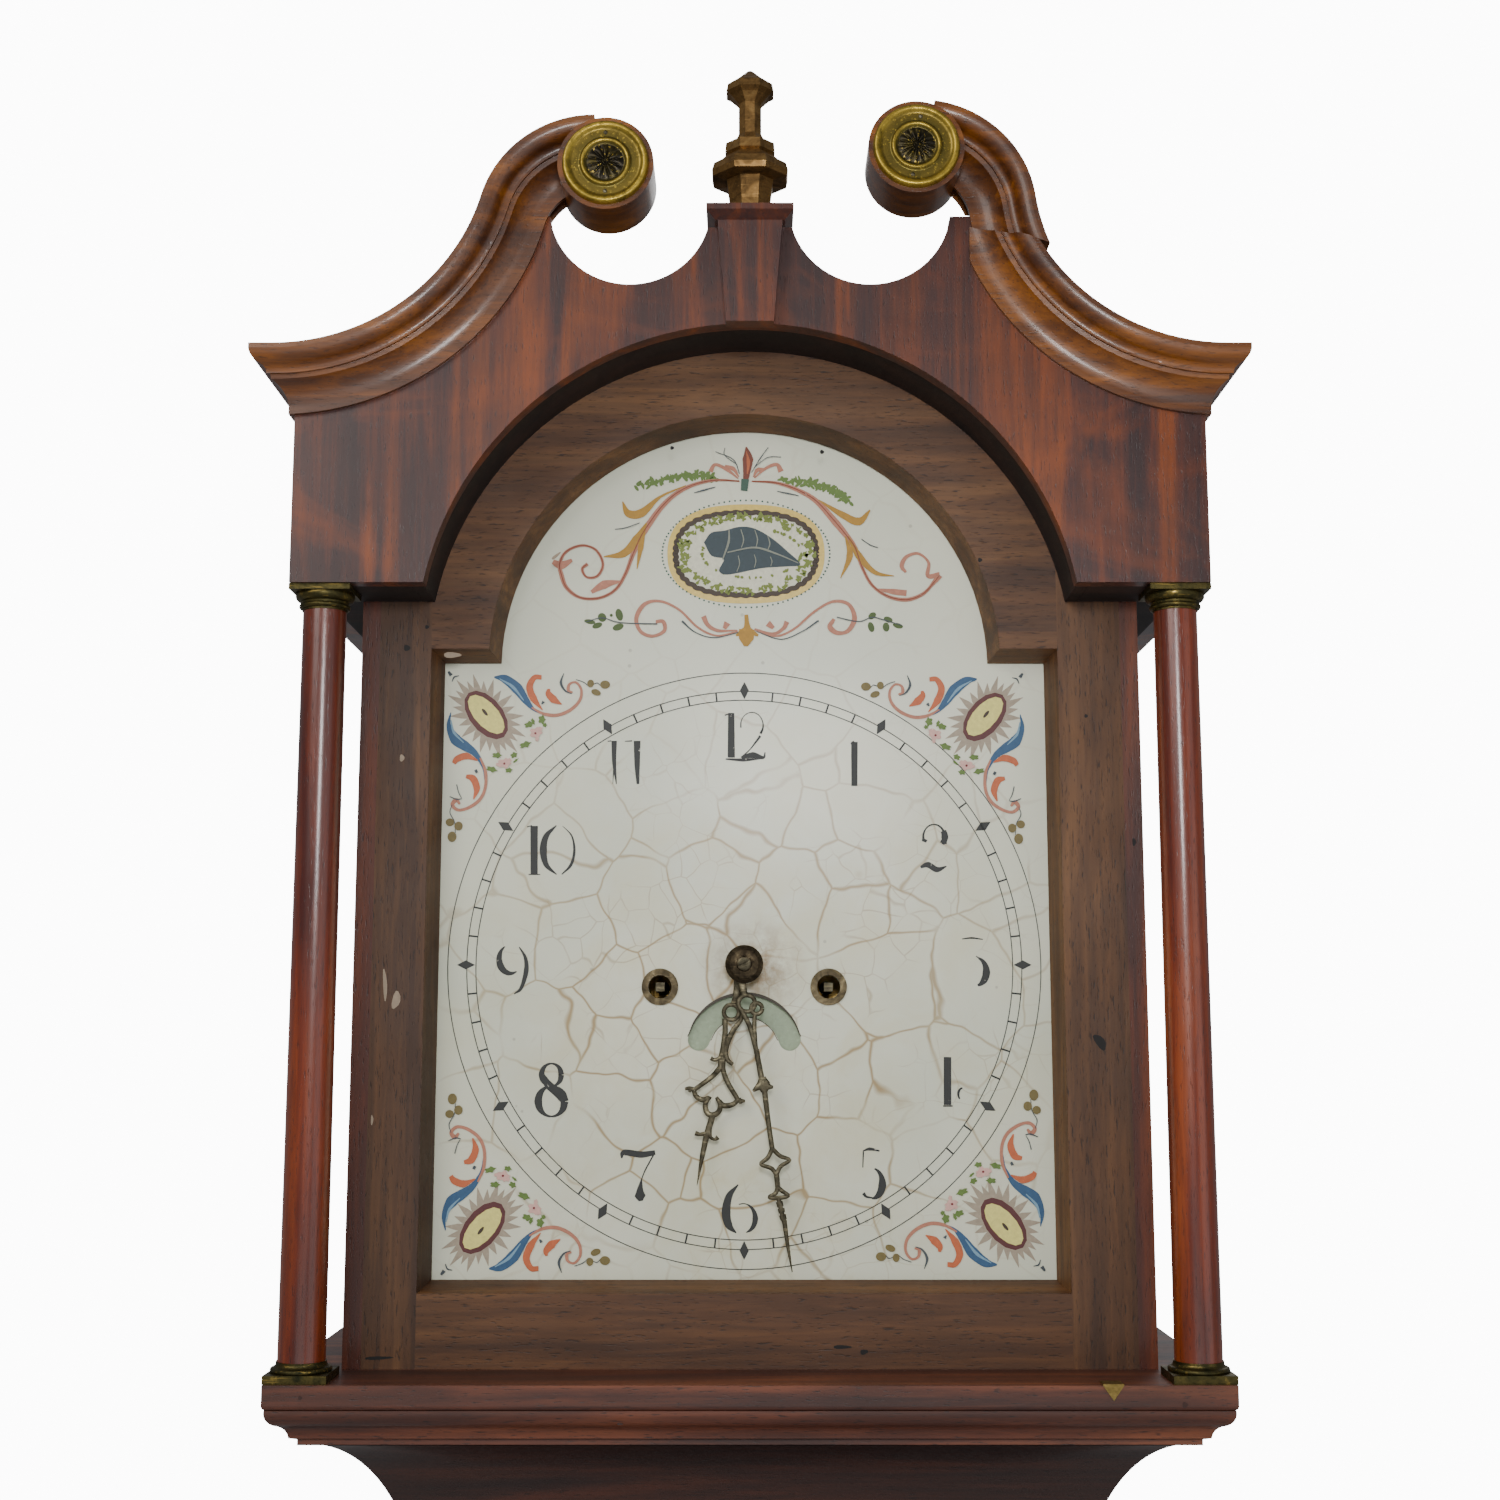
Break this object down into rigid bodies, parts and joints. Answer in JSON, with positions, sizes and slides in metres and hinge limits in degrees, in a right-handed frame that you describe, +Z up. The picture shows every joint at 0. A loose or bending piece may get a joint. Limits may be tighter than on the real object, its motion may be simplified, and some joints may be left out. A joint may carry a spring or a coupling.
{
  "type": "longcase clock",
  "caption": "Tall weight-driven longcase clock with an arched painted dial, swan-neck hood with slim columns, long trunk door and plain plinth.",
  "frame": {"origin": "on the floor, at the middle of the plinth's footprint", "axes": "+Z up, +X to the right of a person facing the dial, +Y back to the wall"},
  "size_m": [0.508, 0.282, 2.275],
  "materials": {
    "figured_mahogany": "french polished, worn",
    "plain_mahogany": "waxed",
    "mask_oak": "satin, open grain",
    "deal": "bare, aged",
    "dial_paint": "aged satin enamel paint",
    "date_paint": "aged satin paint",
    "old_brass": "tarnished, polished on the high spots",
    "clock_brass": "brushed",
    "blued_steel": "darkened",
    "bright_steel": "brushed",
    "cast_weight": "rough cast",
    "gut": "twisted, waxy"
  },
  "bodies": {
    "case": {"backboard": "deal", "trunk_sides": "plain_mahogany", "trunk_front_frame": "figured_mahogany", "throat_moulding": "plain_mahogany", "waist_moulding": "plain_mahogany", "plinth_panels": "figured_mahogany", "plinth_skirting": "plain_mahogany", "plinth_battens": "deal", "seat_board": "deal", "door_hinge_case_leaves": "old_brass", "dial": "dial_paint", "winding_hole_rings": "old_brass", "movement_plates": "clock_brass", "movement_pillars": "clock_brass", "movement_cocks": "clock_brass", "bell": "clock_brass", "going_line": "gut", "strike_line": "gut"},
    "door": {"trunk_door": "figured_mahogany", "door_hinge_leaves": "old_brass", "door_lock": "old_brass"},
    "hood": {"hood_ledge": "plain_mahogany", "hood_base_moulding": "plain_mahogany", "hood_sides": "plain_mahogany", "hood_roof": "deal", "mask_stiles": "mask_oak", "mask_rails": "mask_oak", "pediment_fascia": "figured_mahogany", "frieze_sides": "figured_mahogany", "frieze_soffits": "deal", "cornice_returns": "figured_mahogany", "swan_neck_left": "figured_mahogany", "swan_neck_right": "figured_mahogany", "swan_neck_right_scroll": "figured_mahogany", "scroll_rosettes": "old_brass", "keystone": "figured_mahogany", "finial": "old_brass", "column_shafts": "plain_mahogany", "column_brasses": "old_brass", "door_pivot_plate": "old_brass"},
    "minute_work": {"minute_hand": "blued_steel", "centre_arbor": "blued_steel"},
    "hour_work": {"hour_hand": "blued_steel", "hour_wheel": "clock_brass"},
    "minute_wheel_body": {"minute_wheel": "clock_brass"},
    "date_disc_body": {"date_disc": "date_paint"},
    "going_great_wheel_body": {"going_great_wheel": "clock_brass"},
    "strike_great_wheel_body": {"strike_great_wheel": "clock_brass"},
    "third_wheel_body": {"third_wheel": "clock_brass"},
    "escape_wheel_body": {"escape_wheel": "clock_brass"},
    "anchor_body": {"anchor_and_crutch": "bright_steel"},
    "pendulum": {"pendulum_rod": "bright_steel", "pendulum_bob": "clock_brass"},
    "going_barrel_body": {"going_barrel": "clock_brass"},
    "strike_barrel_body": {"strike_barrel": "clock_brass"},
    "going_weight_body": {"going_weight": "cast_weight"},
    "strike_weight_body": {"strike_weight": "cast_weight"},
    "going_pulley_body": {"going_pulley": "clock_brass"},
    "strike_pulley_body": {"strike_pulley": "clock_brass"},
    "hammer_body": {"hammer": "bright_steel"}
  },
  "joints": [
    {"name": "hood_slide", "type": "slide", "parent": "case", "child": "hood", "axis": [0, -1, 0], "range_m": [0, 0.26]},
    {"name": "trunk_door_hinge", "type": "hinge", "parent": "case", "child": "door", "pos_m": [0.1175, -0.073, 1], "axis": [0, 0, 1], "range_deg": [0, 115]},
    {"name": "minute_hand_turn", "type": "hinge", "parent": "case", "child": "minute_work", "pos_m": [-0.003, 0, 1.809], "axis": [0, 1, 0], "continuous": true},
    {"name": "hour_hand_turn", "type": "hinge", "parent": "case", "child": "hour_work", "pos_m": [-0.003, 0, 1.809], "axis": [0, 1, 0], "continuous": true},
    {"name": "minute_wheel_turn", "type": "hinge", "parent": "case", "child": "minute_wheel_body", "pos_m": [-0.02543, 0, 1.82195], "axis": [0, 1, 0], "continuous": true},
    {"name": "date_disc_turn", "type": "hinge", "parent": "case", "child": "date_disc_body", "pos_m": [-0.003, 0, 1.7632], "axis": [0, 1, 0], "continuous": true},
    {"name": "going_great_wheel_turn", "type": "hinge", "parent": "case", "child": "going_great_wheel_body", "pos_m": [0.0413, 0, 1.7975], "axis": [0, 1, 0], "continuous": true},
    {"name": "strike_great_wheel_turn", "type": "hinge", "parent": "case", "child": "strike_great_wheel_body", "pos_m": [-0.0473, 0, 1.7975], "axis": [0, 1, 0], "continuous": true},
    {"name": "third_wheel_turn", "type": "hinge", "parent": "case", "child": "third_wheel_body", "pos_m": [0.0045, 0, 1.8366], "axis": [0, 1, 0], "continuous": true},
    {"name": "escape_wheel_turn", "type": "hinge", "parent": "case", "child": "escape_wheel_body", "pos_m": [-0.003, 0, 1.859], "axis": [0, 1, 0], "continuous": true},
    {"name": "pendulum_swing", "type": "hinge", "parent": "case", "child": "pendulum", "pos_m": [-0.003, 0.054, 1.8873], "axis": [0, 1, 0], "range_deg": [-3.5, 3.5]},
    {"name": "anchor_swing", "type": "hinge", "parent": "case", "child": "anchor_body", "pos_m": [-0.003, 0.054, 1.8873], "axis": [0, 1, 0], "range_deg": [-3.5, 3.5]},
    {"name": "going_weight_slide", "type": "slide", "parent": "case", "child": "going_weight_body", "axis": [0, 0, 1], "range_m": [-0.74, 0.64], "deforming": ["going_line"]},
    {"name": "strike_weight_slide", "type": "slide", "parent": "case", "child": "strike_weight_body", "axis": [0, 0, 1], "range_m": [-0.8, 0.58], "deforming": ["strike_line"]},
    {"name": "going_barrel_turn", "type": "hinge", "parent": "case", "child": "going_barrel_body", "pos_m": [0.0413, 0, 1.7975], "axis": [0, 1, 0], "range_deg": [-3560, 2870]},
    {"name": "strike_barrel_turn", "type": "hinge", "parent": "case", "child": "strike_barrel_body", "pos_m": [-0.0473, 0, 1.7975], "axis": [0, 1, 0], "range_deg": [-3560, 2870]},
    {"name": "going_pulley_turn", "type": "hinge", "parent": "going_weight_body", "child": "going_pulley_body", "pos_m": [0.03775, 0, 1.0193], "axis": [0, 1, 0], "range_deg": [-2060, 1650]},
    {"name": "strike_pulley_turn", "type": "hinge", "parent": "strike_weight_body", "child": "strike_pulley_body", "pos_m": [-0.05085, 0, 1.0793], "axis": [0, 1, 0], "range_deg": [-2060, 1650]},
    {"name": "hammer_swing", "type": "hinge", "parent": "case", "child": "hammer_body", "pos_m": [-0.043, 0, 1.881], "axis": [0, 1, 0], "range_deg": [-14, 0], "stiffness_Nm_per_rad": 0.05, "springref_deg": 17.19}
  ],
  "couplings": [
    {"joint": "hour_hand_turn", "follows": "minute_hand_turn", "ratio": 0.083333},
    {"joint": "minute_wheel_turn", "follows": "minute_hand_turn", "ratio": -1},
    {"joint": "date_disc_turn", "follows": "minute_hand_turn", "ratio": 0.0013441},
    {"joint": "going_great_wheel_turn", "follows": "minute_hand_turn", "ratio": -0.083333},
    {"joint": "third_wheel_turn", "follows": "minute_hand_turn", "ratio": -7.5},
    {"joint": "escape_wheel_turn", "follows": "minute_hand_turn", "ratio": 60},
    {"joint": "anchor_swing", "follows": "pendulum_swing", "ratio": 1},
    {"joint": "going_barrel_turn", "follows": "going_weight_slide", "rad_per_m": 76.775},
    {"joint": "going_pulley_turn", "follows": "going_weight_slide", "rad_per_m": 44.444},
    {"joint": "strike_barrel_turn", "follows": "strike_weight_slide", "rad_per_m": 76.775},
    {"joint": "strike_pulley_turn", "follows": "strike_weight_slide", "rad_per_m": 44.444}
  ]
}
